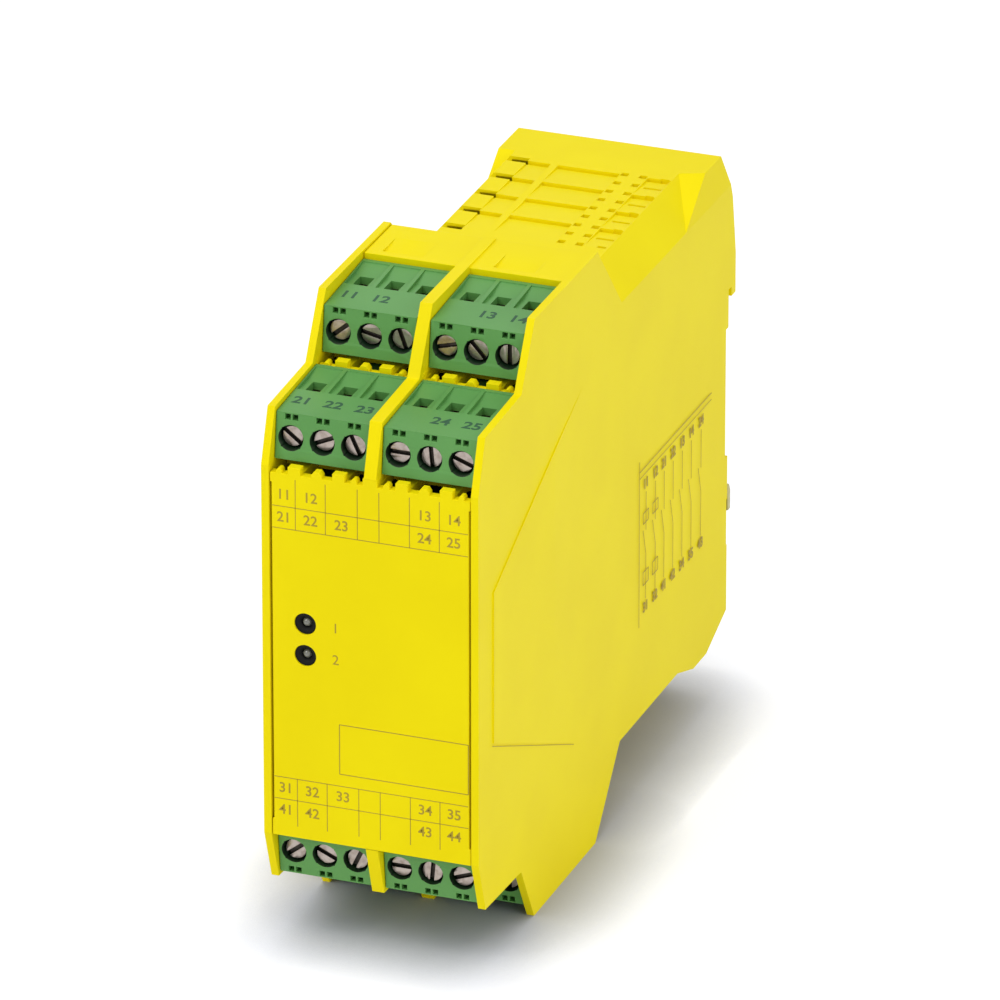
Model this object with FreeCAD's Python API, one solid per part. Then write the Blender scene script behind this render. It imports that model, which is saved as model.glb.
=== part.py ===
import FreeCAD, Part
import math
import os

# Safety relay module for a 35 mm top-hat rail. Lengths are in millimetres.
# The parts are drawn with Y as the depth behind the front panel and Z as the height
# above mid-height. export() then moves them so that the origin lies on the rail
# seat, in the middle of the rail. X is the width, the front faces -Y, +Z is up.

# Housing, overall
WIDTH = 35.0
HEIGHT = 99.0
DEPTH = 114.5
WALL = 1.4
SKIN = 1.6
SIDE_PAD = 0.2
FIT = 0.15

# Side outline: two terminal steps above the front panel, and the same below it
PANEL_HALF = 30.3
STEP1_DEPTH = 2.9
STEP1_HALF = 38.8
STEP2_DEPTH = 18.3
STEP2_HALF = 39.5
TOP_DEPTH = 24.0
SHOULDER_DEPTH = 51.2
SHOULDER_RUN = 10.9
SHOULDER_DROP = 12.6
ROOF_HALF = 42.3
ROOF_FLAT = 12.5
BEVEL_DROP = 5.4
ROOF_FLAT_LEFT = 14.5
BEVEL_DROP_LEFT = 3.4

# Rail seat and hook
RAIL_WIDTH = 35.0
RAIL_SHEET = 1.0
RAIL_CENTRE = 1.5
HOOK_REACH = 3.2
SEAT_RELIEF = 1.1
HOOK_BITE = 1.2
RIDGE_WIDTH = 13.5
RIDGE_RAMP = 12.0
RIDGE_RAMP_LEFT = 4.8
RIDGE_SKEW = 0.43
RIDGE_DRAFT = 1.0
HEEL_HALF = 39.3
HEEL_LENGTH = 18.5
HEEL_RAMP = 7.5

# Terminal columns and plugs
MID_WALL = 2.0
POLES = 3
POLE_PITCH = 5.0
TIER_DEPTH = 19.7
TIER_RISE = 9.3
PLUG_FACE = 2.3
PLUG_LEAN = 0.9
PLUG_BOTTOM = 30.7
PLUG_CREASE = 38.0
PLUG_TOP = 39.0
PLUG_LENGTH = 17.2
LIP_GAP = 0.2
LIP_RISE = 1.2
LIP_OPEN = 7.0
SHELF = 1.5
PANEL_GAP = 0.25

# Clamp, screw and contact of one pole
SCREW_HEIGHT = 34.1
HEAD_RADIUS = 1.6
HEAD_LENGTH = 1.5
HEAD_SINK = 0.9
HEAD_GAP = 0.4
SHANK_RADIUS = 1.3
RUNNING = 0.08
SLOT_WIDTH = 0.7
SLOT_DEEP = 0.8
SCREW_TURNS = (38, -24, 65, 0, 85, 20, -40, 12, 70, -15, 48, 90)
CAGE = (3.9, 6.4, 5.2)
CAGE_WALL = 1.0
CAGE_DEPTH = 8.9
PIN = 0.9
PIN_TAIL = 7.4
HEADER_LENGTH = 6.0
HEADER_HALF = 2.8
SCOOP_HALF = 2.2
SCOOP_DEEP = 0.9
HOLE = 2.3
HOLE_DEPTH = 11.2
HOLE_LENGTH = 3.7

# Indicators
LED_X = -10.5
LED_UPPER = 5.2
LED_PITCH = 5.2
LED_HOLE = 1.75
LED_RADIUS = 1.45
LED_SETBACK = 0.9

# Louvres in roof and floor
LOUVRE_FIRST = 69.3
LOUVRE_PITCH = 7.12
LOUVRES = 5
FLOOR_LOUVRES = 4
LOUVRE_STEP = 0.4
LOUVRE_SLIT = 0.6
VENT_WIDTH = 1.9
VENT_INNER = 11.2
VENT_OUTER = 14.2
VENT_DEEP = 5.5
VENT_NOTCH = 1.4
VENT_LIP = 0.5
DASH_WIDTH = 0.7
DASH_DEEP = 0.9
DASH_LONG = 9.2
DASH_SHORT = 10.7
DASH_END = 12.1
DOT = 1.2
DOT_LINES = (4.8, 7.8)
FIELDS = ((-11.2, -7.4), (-6.2, 4.0), (8.6, 12.4))

# Circuit boards, the strip between them, the lamp holder and the relays
BOARD = 1.6
BOARD_GAP = 0.4
BOARD_ROOM = 2.5
LINK_DEPTH = 47.0
LINK_THICK = 2.5
LINK_HALF = 9.0
HOLDER_END = 23.0
HOLDER_HALF = 5.6
HOLDER_SIDE = 3.2
RELAY = (11.6, 40.0, 24.0)
RELAY_GAP = 8.4
BOARD_END = 4.4
RELAY_HALF_PITCH = 13.0
RELAY_PINS = (4, 12, 20, 28, 36)

# Rail foot
FOOT_HALF = 8.0
FOOT_SHEET = 2.2
GUIDE_WALL = 3.3
FOOT_TRAVEL = 3.2
NOSE_BITE = 1.4
NOSE_DROP = 3.1
FOOT_END = 45.0
LEDGE_TOP = -31.5
LEDGE = 2.0
SPRING_LENGTH = 10.5
SPRING_RADIUS = 0.95
SPRING_WIRE = 0.4
SPRING_TURNS = 5

# Derived values
HALF = WIDTH / 2
SIDE = HALF - SIDE_PAD
INNER = HALF - WALL
TOP_HALF = HEIGHT / 2
VALLEY_HALF = TOP_HALF - SHOULDER_DROP
SLOPE = SHOULDER_RUN / SHOULDER_DROP
SEAT_DEPTH = DEPTH - HOOK_REACH
RIDGE_DEPTH = DEPTH - RIDGE_WIDTH
HEEL_DEPTH = DEPTH - HEEL_LENGTH
GUIDE = SEAT_DEPTH - SEAT_RELIEF - FOOT_SHEET - 2 * FIT
BACK_ROOM = GUIDE - GUIDE_WALL
RELAY_FRONT = BACK_ROOM - RELAY_GAP - RELAY[1]
RAIL_TOP = RAIL_CENTRE + RAIL_WIDTH / 2
RAIL_LOW = RAIL_CENTRE - RAIL_WIDTH / 2
FLANGE_SLOT = SEAT_DEPTH + RAIL_SHEET + 0.3
NOSE_LOW = RAIL_LOW - NOSE_DROP
POCKET = INNER - MID_WALL / 2
PLUG_WIDTH = POCKET - 2 * FIT
PLUG_X = MID_WALL / 2 + POCKET / 2
LIP_TOP = PLUG_BOTTOM - LIP_GAP
SHELF_TOP = LIP_TOP - LIP_RISE
PLUG_BACK = PLUG_FACE + PLUG_LENGTH
POCKET_BACK = PLUG_BACK + 2 * FIT
FACE_SLOPE = PLUG_LEAN / (PLUG_CREASE - PLUG_BOTTOM)
HEAD_FACE = PLUG_FACE + FACE_SLOPE * (SCREW_HEIGHT - PLUG_BOTTOM) + HEAD_SINK
PIN_TIP = CAGE_DEPTH + CAGE[1]


def box(x0, x1, y0, y1, z0, z1):
    size = (x1 - x0, y1 - y0, z1 - z0)
    return Part.makeBox(*size, FreeCAD.Vector(x0, y0, z0))


def prism(points, x0, x1):
    """Solid of a (depth, height) outline between two places across the width."""
    corners = [FreeCAD.Vector(x0, y, z) for y, z in points]
    face = Part.Face(Part.makePolygon(corners + corners[:1]))
    return face.extrude(FreeCAD.Vector(x1 - x0, 0, 0))


def polygon_face(corners):
    points = [FreeCAD.Vector(*corner) for corner in corners]
    return Part.Face(Part.makePolygon(points + points[:1]))


def solid_between(front, rear):
    """Solid with flat sides between two end outlines of as many corners."""
    faces = [polygon_face(front), polygon_face(rear)]
    for i in range(len(front)):
        j = (i + 1) % len(front)
        faces.append(polygon_face([front[i], front[j], rear[j], rear[i]]))
    solid = Part.makeSolid(Part.makeShell(faces))
    if solid.Volume < 0:
        solid.reverse()
    return solid


def rod(radius, start, length, axis):
    return Part.makeCylinder(radius, length, FreeCAD.Vector(*start), FreeCAD.Vector(*axis))


def flip_x(shape):
    return shape.mirror(FreeCAD.Vector(0, 0, 0), FreeCAD.Vector(1, 0, 0))


def flip_z(shape):
    return shape.mirror(FreeCAD.Vector(0, 0, 0), FreeCAD.Vector(0, 0, 1))


def union(shapes):
    return shapes[0].multiFuse(shapes[1:]).removeSplitter()


def slope_depth(half):
    """Depth of the slanted shoulder at one height above mid-height."""
    return SHOULDER_DEPTH + (TOP_HALF - half) * SLOPE


def upper_front():
    """Outline of the two upper terminal steps, from the panel to the shoulder."""
    return [
        (0, PANEL_HALF),
        (STEP1_DEPTH, STEP1_HALF),
        (STEP2_DEPTH, STEP2_HALF),
        (TOP_DEPTH, TOP_HALF),
        (SHOULDER_DEPTH, TOP_HALF),
    ]


def mirrored(points):
    return [(y, -z) for y, z in reversed(points)]


def bevel_cut(flat, drop, reach, ramp, skew, rear):
    """Wedge that slants one long roof edge, up to a ramp in front of the rear ridge."""
    run = SIDE - flat
    low = ROOF_HALF - drop
    over = 0.25
    section = [
        (flat - over * run, ROOF_HALF + over * drop),
        (SIDE + over * run, low - over * drop),
        (SIDE + over * run, ROOF_HALF + over * drop),
    ]
    front = [(x, slope_depth(z), z) for x, z in section]
    back = []
    for x, z in section:
        along = rear + ramp * (z - reach) / (reach - low) + skew * (x - flat)
        back.append((x, along, z))
    return solid_between(front, back)


def ridge_draft():
    """Wedge that leans the right-hand end of the rear ridge inwards."""
    start = RIDGE_DEPTH - RIDGE_RAMP
    corners = [
        (SIDE, start, VALLEY_HALF),
        (SIDE - RIDGE_DRAFT, start, ROOF_HALF),
        (SIDE + 1, start, ROOF_HALF),
        (SIDE + 1, start, VALLEY_HALF),
    ]
    return polygon_face(corners).extrude(FreeCAD.Vector(0, DEPTH, 0))


def bevel_cuts():
    cuts = []
    right = (ROOF_FLAT, BEVEL_DROP, RIDGE_RAMP, RIDGE_SKEW)
    left = (ROOF_FLAT_LEFT, BEVEL_DROP_LEFT, RIDGE_RAMP_LEFT, 0.0)
    for mirror, (flat, drop, ramp, skew) in ((False, right), (True, left)):
        upper = bevel_cut(flat, drop, ROOF_HALF, ramp, skew, RIDGE_DEPTH)
        lower = flip_z(bevel_cut(flat, drop, HEEL_HALF, HEEL_RAMP, 0.0, HEEL_DEPTH))
        cuts += [flip_x(upper), flip_x(lower)] if mirror else [upper, lower]
    return cuts


def housing_outline():
    """Side outline of the whole housing, with the rail seat at the rear."""
    roof_front = slope_depth(ROOF_HALF)
    top = upper_front() + [(roof_front, ROOF_HALF), (DEPTH - 4.5, ROOF_HALF)]
    hook = [
        (DEPTH - 1.6, 34.5),
        (DEPTH, 24.5),
        (DEPTH, RAIL_TOP - HOOK_BITE),
        (FLANGE_SLOT, RAIL_TOP - HOOK_BITE),
        (FLANGE_SLOT, RAIL_TOP + 0.4),
        (SEAT_DEPTH, RAIL_TOP + 0.4),
        (SEAT_DEPTH, RAIL_TOP - 6.0),
        (SEAT_DEPTH - SEAT_RELIEF, RAIL_TOP - 6.0),
        (SEAT_DEPTH - SEAT_RELIEF, RAIL_LOW + 7.0),
        (SEAT_DEPTH, RAIL_LOW + 7.0),
        (SEAT_DEPTH, -HEEL_HALF + 3.7),
    ]
    heel = [
        (HEEL_DEPTH + 6.0, -HEEL_HALF),
        (HEEL_DEPTH, -HEEL_HALF),
        (HEEL_DEPTH - 2.5, -ROOF_HALF),
        (roof_front, -ROOF_HALF),
    ]
    return top + hook + heel + mirrored(upper_front())


def cavity():
    """Room inside the housing, open at the front between the two side walls."""
    lip = TOP_HALF - 1.9
    under = ROOF_HALF - SKIN
    back = SEAT_DEPTH - SEAT_RELIEF - SKIN
    far = 2 * HEIGHT
    room_end = HEEL_DEPTH - 2.0
    upper = [
        (-1.0, far),
        (SHOULDER_DEPTH + 8.0, far),
        (SHOULDER_DEPTH + 8.0, lip),
        (slope_depth(lip) - SKIN, lip),
        (slope_depth(under) - SKIN, under),
    ]
    rear = [
        (DEPTH - 5.8, under),
        (DEPTH - 3.3, 33.5),
        (DEPTH - 1.9, RAIL_TOP + 2.0),
        (back, RAIL_TOP + 2.0),
        (back, RAIL_LOW + 10.0),
        (BACK_ROOM, RAIL_LOW + 10.0),
        (BACK_ROOM, -HEEL_HALF + SKIN),
        (room_end, -HEEL_HALF + SKIN),
        (room_end - 2.0, -under),
    ]
    lower = mirrored(upper)
    room = prism(upper + rear + lower, -INNER, INNER)
    for cut in bevel_cuts():
        middle = cut.CenterOfMass
        step = FreeCAD.Vector(math.copysign(0.9 * SKIN, -middle.x), -SKIN, 0)
        step.z = math.copysign(0.9 * SKIN, -middle.z)
        room = room.cut(cut.translated(step))
    return room


def louvre_field(x0, x1, rows):
    """Slats that fall towards the rear, each with a slit at its lower end."""
    cuts = []
    for row in range(rows):
        start = LOUVRE_FIRST + row * LOUVRE_PITCH - LOUVRE_PITCH
        end = start + LOUVRE_PITCH
        low = ROOF_HALF - LOUVRE_STEP
        slit = low - LOUVRE_SLIT
        points = [(start, ROOF_HALF), (end - LOUVRE_SLIT, low), (end - LOUVRE_SLIT, slit)]
        points += [(end, slit), (end, ROOF_HALF + 1), (start, ROOF_HALF + 1)]
        if row > 0:
            cuts.append(prism(points, x0, x1))
    return cuts


def vent_rows(rows):
    """Openings through the left roof edge, and short marks on and beside the right."""
    cuts = []
    deep = ROOF_HALF - VENT_DEEP
    notch = ROOF_HALF - VENT_NOTCH
    shallow = ROOF_HALF - DASH_DEEP
    high = ROOF_HALF + 1
    for row in range(rows):
        y = LOUVRE_FIRST + row * LOUVRE_PITCH
        half = y - LOUVRE_PITCH / 2
        before = y - VENT_WIDTH / 2
        after = y + VENT_WIDTH / 2
        slot = [(before, high), (after, high), (after, ROOF_HALF - VENT_LIP)]
        slot += [(after + VENT_DEEP, deep), (before, deep)]
        cuts.append(prism(slot, -VENT_OUTER, -VENT_INNER))
        cuts.append(box(-HALF, -VENT_OUTER, before, after, notch, high))
        for at, x in ((y, DASH_SHORT), (half, DASH_LONG)):
            cuts.append(box(x, DASH_END, at - DASH_WIDTH / 2, at + DASH_WIDTH / 2, shallow, high))
        for x in DOT_LINES:
            for at in (y, half):
                cuts.append(box(x - DOT / 2, x + DOT / 2, at - DOT / 2, at + DOT / 2, shallow, high))
    return cuts


def vent_cuts(rows):
    cuts = vent_rows(rows)
    for x0, x1 in FIELDS:
        cuts += louvre_field(x0, x1, rows)
    return cuts


def side_pad():
    """Low raised field on the side wall that runs out towards the rear."""
    outline = [(6.0, -12.5), (6.0, 12.3), (32.0, 24.5), (46.0, 30.5), (46.0, -30.0)]
    pad = prism(outline, SIDE, HALF)
    fade = [(SIDE - 0.01, 46.1), (HALF + 0.01, 46.1), (HALF + 0.01, 32.0)]
    corners = [FreeCAD.Vector(x, y, -HEIGHT) for x, y in fade]
    face = Part.Face(Part.makePolygon(corners + corners[:1]))
    return pad.cut(face.extrude(FreeCAD.Vector(0, 0, 2 * HEIGHT)))


def foot_channel():
    """Guide for the rail foot, cut into the rear of the housing."""
    half = FOOT_HALF + FIT
    slot = box(-half, half, GUIDE, DEPTH, -2 * HEIGHT, RAIL_LOW + 2.5)
    low = NOSE_LOW - FOOT_TRAVEL - 2.0
    nose = box(-HALF, HALF, SEAT_DEPTH - 0.3, DEPTH, low, RAIL_LOW - 0.4)
    return [slot, nose]


def spring_seat():
    """Ledge in the foot channel that carries the lower end of the spring."""
    back = SEAT_DEPTH - SEAT_RELIEF
    return box(-2.6, 2.6, GUIDE - FIT, back, LEDGE_TOP - LEDGE, LEDGE_TOP)


def housing():
    shell = prism(housing_outline(), -SIDE, SIDE)
    pads = [side_pad(), flip_x(side_pad())]
    shell = shell.cut(bevel_cuts() + [ridge_draft()])
    shell = union([shell] + pads)
    shell = shell.cut(cavity())
    floor = [flip_z(cut) for cut in vent_cuts(FLOOR_LOUVRES)]
    shell = shell.cut(vent_cuts(LOUVRES) + floor).cut(foot_channel())
    return union([shell, spring_seat()])


def lip_cuts(depth, lip_top):
    """Three open gaps in the lip below one plug, each with a small tooth in front."""
    gaps = ((-PLUG_WIDTH / 2, 2.9, 1.0), (-2.55, 5.1, 1.7), (4.55, 2.85, 0.9))
    cuts = []
    teeth = []
    for start, width, tooth in gaps:
        x0 = PLUG_X + start
        low = lip_top - LIP_RISE
        floor = low - SHELF
        cuts.append(box(x0, x0 + width, depth - 1, depth + SHELF, low, lip_top + 1))
        cuts.append(box(x0, x0 + width, depth + SHELF, depth + LIP_OPEN, floor - 1, lip_top + 1))
        middle = x0 + width / 2
        half = tooth / 2
        tip = low + 0.35 * LIP_RISE
        corners = [(-half, low - 0.2), (-half, tip), (-half / 2, tip + 0.7 * half)]
        corners += [(-x, z) for x, z in reversed(corners)]
        face = polygon_face([(middle + x, depth, z) for x, z in corners])
        teeth.append(face.extrude(FreeCAD.Vector(0, SHELF, 0)))
    return cuts, teeth


def tier_walls(tier, gaps):
    """Shelf, lip and rear wall of one upper pair of plug pockets."""
    dy = tier * TIER_DEPTH
    dz = tier * TIER_RISE
    front = FIT if tier == 0 else POCKET_BACK
    back = POCKET_BACK + dy
    top = SHELF_TOP + dz
    edge = INNER - FIT
    shelf = box(-edge, edge, front, back, top - SHELF, top)
    lip = box(-edge, edge, front, front + SHELF, top - SHELF, LIP_TOP + dz)
    high = SHELF_TOP + TIER_RISE if tier == 0 else TOP_HALF - 0.3
    wall = box(-edge, edge, back, back + SHELF, top - SHELF, high)
    cuts, teeth = lip_cuts(front, LIP_TOP + dz) if gaps else ([], [])
    cuts += [flip_x(cut) for cut in cuts]
    teeth += [flip_x(tooth) for tooth in teeth]
    slots = []
    for side in (-1, 1):
        for x in pole_places(side):
            z = SCREW_HEIGHT + dz
            reach = PIN / 2 + 0.1
            slots.append(box(x - reach, x + reach, back - 1, back + 3, z - reach, z + reach))
    solid = union([shelf, lip, wall])
    if gaps:
        solid = union([solid.cut(cuts)] + teeth)
    return solid.cut(slots)


def pole_places(side):
    return [side * PLUG_X + (i - (POLES - 1) / 2) * POLE_PITCH for i in range(POLES)]


def cover_roof():
    """Top behind the rear plugs, with a finger scoop behind each column."""
    edge = INNER - FIT
    start = POCKET_BACK + TIER_DEPTH
    top = TOP_HALF - 0.3
    lip = TOP_HALF - 1.9 + FIT
    outline = [(start, top), (SHOULDER_DEPTH, top), (slope_depth(lip), lip)]
    outline += [(slope_depth(lip) - SKIN, lip), (start, top - SHELF)]
    roof = prism(outline, -edge, edge)
    scoops = []
    for x in (-PLUG_X - 1.7, PLUG_X - 0.9):
        ramp = [(start - 1, top + 1), (start + 7.0, top + 1), (start + 7.0, top)]
        ramp += [(start - 1, top - 0.8)]
        scoops.append(prism(ramp, x - 3.3, x + 3.3))
    return roof.cut(scoops)


def middle_wall():
    """Wall between the two columns of plugs, with the outline of the side walls."""
    start = SHELF_TOP - 0.5
    outline = [(FIT, start)] + upper_front()
    outline[1] = (FIT, PANEL_HALF)
    outline += [(SHOULDER_DEPTH, TOP_HALF - SHELF)]
    outline += [(POCKET_BACK + TIER_DEPTH, TOP_HALF - SHELF)]
    outline += [(POCKET_BACK + TIER_DEPTH, SHELF_TOP + TIER_RISE - SHELF)]
    outline += [(POCKET_BACK, SHELF_TOP + TIER_RISE - SHELF), (POCKET_BACK, start)]
    return prism(outline, -MID_WALL / 2, MID_WALL / 2)


def front_cover():
    edge = INNER - FIT
    side = edge - PANEL_GAP
    panel = box(-side, side, FIT, FIT + SHELF, -SHELF_TOP + 0.1, SHELF_TOP - 0.1)
    ends = [cover_roof(), middle_wall()]
    upper = union([tier_walls(0, True), tier_walls(1, True)] + ends)
    lower = flip_z(union([tier_walls(0, False), tier_walls(1, False)] + ends))
    solid = union([panel, upper, lower])
    for lamp in range(2):
        z = LED_UPPER - lamp * LED_PITCH
        solid = solid.cut(rod(LED_HOLE, (LED_X, -1, z), 2 * SHELF + 1, (0, 1, 0)))
    return solid


def plug_places():
    """Name, side, tier and up or down of the eight plugs."""
    places = []
    for level, up in (("upper", True), ("lower", False)):
        for row, tier in (("front", 0), ("rear", 1)):
            for column, side in (("left", -1), ("right", 1)):
                places.append((f"{level}_{row}_{column}", side, tier, up))
    return places


def placed(shape, side, tier, up):
    """Moves a shape of the upper front place to one of the eight places."""
    step = FreeCAD.Vector(side * PLUG_X, tier * TIER_DEPTH, tier * TIER_RISE)
    moved = shape.translated(step)
    return moved if up else flip_z(moved)


def plug_body():
    """Three-pole plug: screws at the front, wire scoops on top, sockets behind."""
    outline = [
        (PLUG_FACE, PLUG_BOTTOM),
        (PLUG_FACE + PLUG_LEAN, PLUG_CREASE),
        (PLUG_BACK, PLUG_TOP),
        (PLUG_BACK, PLUG_BOTTOM),
    ]
    half = PLUG_WIDTH / 2
    solid = prism(outline, -half, half)
    cuts = []
    for i in range(POLES):
        x = (i - (POLES - 1) / 2) * POLE_PITCH
        cuts += pole_cuts(x)
    return solid.cut(cuts)


def pole_cuts(x):
    cage_x, cage_y, cage_z = CAGE
    y0 = CAGE_DEPTH - FIT
    y1 = CAGE_DEPTH + cage_y + FIT
    z0 = SCREW_HEIGHT - cage_z / 2 - FIT
    z1 = SCREW_HEIGHT + cage_z / 2 + FIT
    room = cage_x / 2 + FIT
    hole = HOLE / 2
    hole_end = HOLE_DEPTH + HOLE_LENGTH
    ramp = [
        (HOLE_DEPTH - 0.3, PLUG_TOP + 1),
        (HOLE_DEPTH - 0.3, PLUG_TOP - SCOOP_DEEP),
        (hole_end, PLUG_TOP - SCOOP_DEEP),
        (PLUG_BACK - 0.7, PLUG_TOP - SCOOP_DEEP / 4),
        (PLUG_BACK - 0.7, PLUG_TOP + 1),
    ]
    bore = HEAD_RADIUS + HEAD_GAP
    shank = SHANK_RADIUS + 0.2
    socket = PIN / 2 + 0.9
    face = PLUG_FACE - 1
    step = HEAD_FACE + HEAD_LENGTH + 0.2 - face
    return [
        box(x - room, x + room, y0, y1, z0, z1),
        prism(ramp, x - SCOOP_HALF, x + SCOOP_HALF),
        box(x - hole, x + hole, HOLE_DEPTH, hole_end, z0 + 1, PLUG_TOP + 1),
        rod(bore, (x, face, SCREW_HEIGHT), step, (0, 1, 0)),
        box(x - shank, x + shank, face, y0 + 1, SCREW_HEIGHT - shank, SCREW_HEIGHT + shank),
        box(x - socket, x + socket, y1 - 1, PLUG_BACK + 1, SCREW_HEIGHT - socket,
            SCREW_HEIGHT + socket),
        box(x - 1.05, x - 0.15, face, PLUG_FACE + 2.4, PLUG_CREASE - 1.1, PLUG_CREASE - 0.2),
        box(x + 0.15, x + 1.05, face, PLUG_FACE + 2.4, PLUG_CREASE - 1.1, PLUG_CREASE - 0.2),
    ]


def clamp(x):
    """Clamp cage of one pole, with the socket that takes the contact pin."""
    cage_x, cage_y, cage_z = CAGE
    y1 = CAGE_DEPTH + cage_y
    half = cage_z / 2
    outer = box(x - cage_x / 2, x + cage_x / 2, CAGE_DEPTH, y1, SCREW_HEIGHT - half,
                SCREW_HEIGHT + half)
    inner = cage_x / 2 - 0.6
    window = box(x - inner, x + inner, CAGE_DEPTH + CAGE_WALL + 0.6, y1 - CAGE_WALL,
                 SCREW_HEIGHT - half - 1, SCREW_HEIGHT + half + 1)
    hole = SHANK_RADIUS + RUNNING
    passage = box(x - hole, x + hole, CAGE_DEPTH - 1, CAGE_DEPTH + CAGE_WALL + 1,
                  SCREW_HEIGHT - hole, SCREW_HEIGHT + hole)
    reach = PIN / 2 + 0.75
    socket = box(x - reach, x + reach, y1, PLUG_BACK - 0.3, SCREW_HEIGHT - reach,
                 SCREW_HEIGHT + reach)
    gap = PIN / 2 + 0.1
    channel = box(x - gap, x + gap, y1 - 1.5, PLUG_BACK + 1, SCREW_HEIGHT - gap,
                  SCREW_HEIGHT + gap)
    return union([outer.cut([window, passage]), socket]).cut(channel)


def screw(x):
    """Clamp screw: slotted cheese head and shank, turning in the plug."""
    y0 = HEAD_FACE
    head = rod(HEAD_RADIUS, (x, y0, SCREW_HEIGHT), HEAD_LENGTH, (0, 1, 0))
    reach = CAGE_DEPTH + CAGE_WALL + 0.6 - y0
    shank = rod(SHANK_RADIUS, (x, y0, SCREW_HEIGHT), reach, (0, 1, 0))
    slot = box(-3, 3, y0 - 1, y0 + SLOT_DEEP, -SLOT_WIDTH / 2, SLOT_WIDTH / 2)
    slot.translate(FreeCAD.Vector(x, 0, SCREW_HEIGHT))
    return union([head, shank]).cut(slot)


def export(node, shape):
    shape = shape.copy()
    shape.translate(FreeCAD.Vector(0, -SEAT_DEPTH, -RAIL_CENTRE))
    shape.exportStep(os.path.join("parts", node + ".step"))
    solids = len(shape.Solids)
    print(f"{node}: {solids} solid(s), {shape.Volume:.1f} mm3, valid {shape.isValid()}")


def export_plugs():
    body = plug_body()
    offsets = [(i - (POLES - 1) / 2) * POLE_PITCH for i in range(POLES)]
    clamps = Part.makeCompound([clamp(x) for x in offsets])
    for index, (name, side, tier, up) in enumerate(plug_places()):
        export("plug_" + name, placed(body, side, tier, up))
        export("clamps_" + name, placed(clamps, side, tier, up))
        for pole, x in enumerate(offsets):
            turned = screw(x)
            angle = SCREW_TURNS[(index * POLES + pole) % len(SCREW_TURNS)]
            centre = FreeCAD.Vector(x, 0, SCREW_HEIGHT)
            turned.rotate(centre, FreeCAD.Vector(0, 1, 0), angle)
            export(f"screw_{name}_{pole + 1}", placed(turned, side, tier, up))


def board_x():
    outer = INNER - BOARD_GAP
    return outer - BOARD, outer


def header_places():
    """Depth and height of the contact pins of the four plug levels of a column."""
    places = []
    for tier in range(2):
        back = POCKET_BACK + tier * TIER_DEPTH + SHELF
        z = SCREW_HEIGHT + tier * TIER_RISE
        places += [(back, z), (back, -z)]
    return places


def headers():
    """Header blocks of one board: plastic bodies behind the pocket walls."""
    inner, _ = board_x()
    blocks = []
    for back, z in header_places():
        block = box(MID_WALL, inner - 0.1, back + 0.2, back + 0.2 + HEADER_LENGTH,
                    z - HEADER_HALF, z + HEADER_HALF)
        for x in pole_places(1):
            gap = PIN / 2 + 0.05
            end = back + HEADER_LENGTH + 1
            block = block.cut(box(x - gap, x + gap, back, end, z - gap, z + gap))
        blocks.append(block)
    return Part.makeCompound(blocks)


def contact_pins():
    """Square pins from each header block into the sockets of its plug."""
    pins = []
    for back, z in header_places():
        for x in pole_places(1):
            half = PIN / 2
            start = back - POCKET_BACK - SHELF + PIN_TIP
            pins.append(box(x - half, x + half, start, back + PIN_TAIL, z - half, z + half))
    return Part.makeCompound(pins)


def circuit_board():
    """Board of one column, from the front headers to the rear of the housing."""
    x0, x1 = board_x()
    first = POCKET_BACK + SHELF + 0.5
    second = first + TIER_DEPTH
    low = SHELF_TOP + TIER_RISE - SHELF - 0.4
    high = TOP_HALF - BOARD_ROOM
    under = VALLEY_HALF - BOARD_ROOM
    upper = [
        (first, low),
        (second, low),
        (second, high),
        (SHOULDER_DEPTH - BOARD_ROOM, high),
        (slope_depth(under) - BOARD_ROOM - 0.4, under),
        (BACK_ROOM - BOARD_END, under),
    ]
    return prism(upper + mirrored(upper), x0, x1)


def relay_pins(z, half, before, length):
    """Two rows of square pins, or of the holes for them, across the board."""
    inner, _ = board_x()
    start = inner - before
    rows = []
    for depth in RELAY_PINS:
        for side in (-1, 1):
            y = RELAY_FRONT + depth
            at = z + side * (RELAY[2] / 2 - 3)
            rows.append(box(start, start + length, y - half, y + half, at - half, at + half))
    return rows


def relay(z):
    """Sealed relay with guided contacts, on the right-hand board."""
    inner, _ = board_x()
    thick, length, tall = RELAY
    face = inner - FIT
    body = box(face - thick, face, RELAY_FRONT, RELAY_FRONT + length, z - tall / 2, z + tall / 2)
    return union([body] + relay_pins(z, PIN / 2, 1.0, 1.0 + BOARD + 0.2))


def board_link():
    """Pin strip that joins the two boards across the housing."""
    inner, _ = board_x()
    reach = inner - 0.1
    return box(-reach, reach, LINK_DEPTH, LINK_DEPTH + LINK_THICK, -LINK_HALF, LINK_HALF)


def led(z):
    """Round indicator lamp behind the panel, with its flange."""
    y0 = LED_SETBACK + FIT
    body = rod(LED_RADIUS, (LED_X, y0 + LED_RADIUS, z), 3.4, (0, 1, 0))
    start = FreeCAD.Vector(LED_X, y0, z)
    dome = Part.makeCone(LED_RADIUS / 2, LED_RADIUS, LED_RADIUS, start, FreeCAD.Vector(0, 1, 0))
    flange = rod(LED_RADIUS + 0.25, (LED_X, y0 + LED_RADIUS + 2.6, z), 1.0, (0, 1, 0))
    return union([body, dome, flange])


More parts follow.
